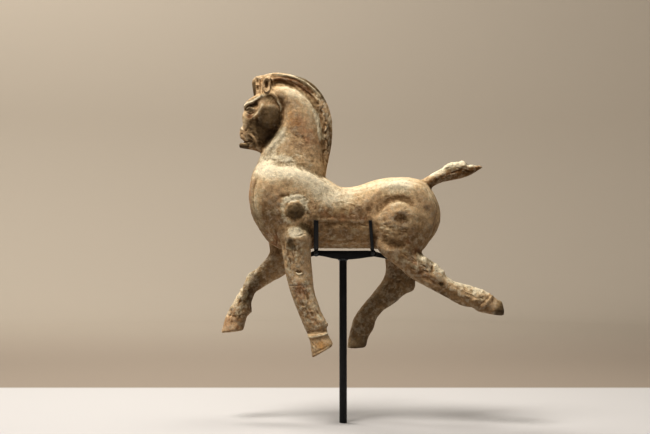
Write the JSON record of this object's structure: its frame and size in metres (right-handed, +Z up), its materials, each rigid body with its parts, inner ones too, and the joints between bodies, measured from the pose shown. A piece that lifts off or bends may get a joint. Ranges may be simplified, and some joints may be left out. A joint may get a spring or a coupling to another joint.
{
  "type": "pottery horse figure",
  "caption": "Prancing earthenware horse with clipped mane, raised tail and round bosses on shoulder and haunch, cradled on a slim blackened metal rod.",
  "frame": {"origin": "centre of the rod's flat cut foot, where it enters whatever holds it up", "axes": "+Z up the rod, -X towards the horse's head, -Y towards the horse's left side"},
  "size_m": [0.2785, 0.0756, 0.3489],
  "materials": {
    "earthenware": "matt buff earthenware with cream slip, brown soil and dark stains",
    "blackened_metal": "satin black paint over steel"
  },
  "bodies": {
    "root": {"horse": "earthenware", "stand_rod": "blackened_metal", "saddle_bar": "blackened_metal", "front_strap": "blackened_metal", "rear_strap": "blackened_metal"}
  },
  "joints": []
}
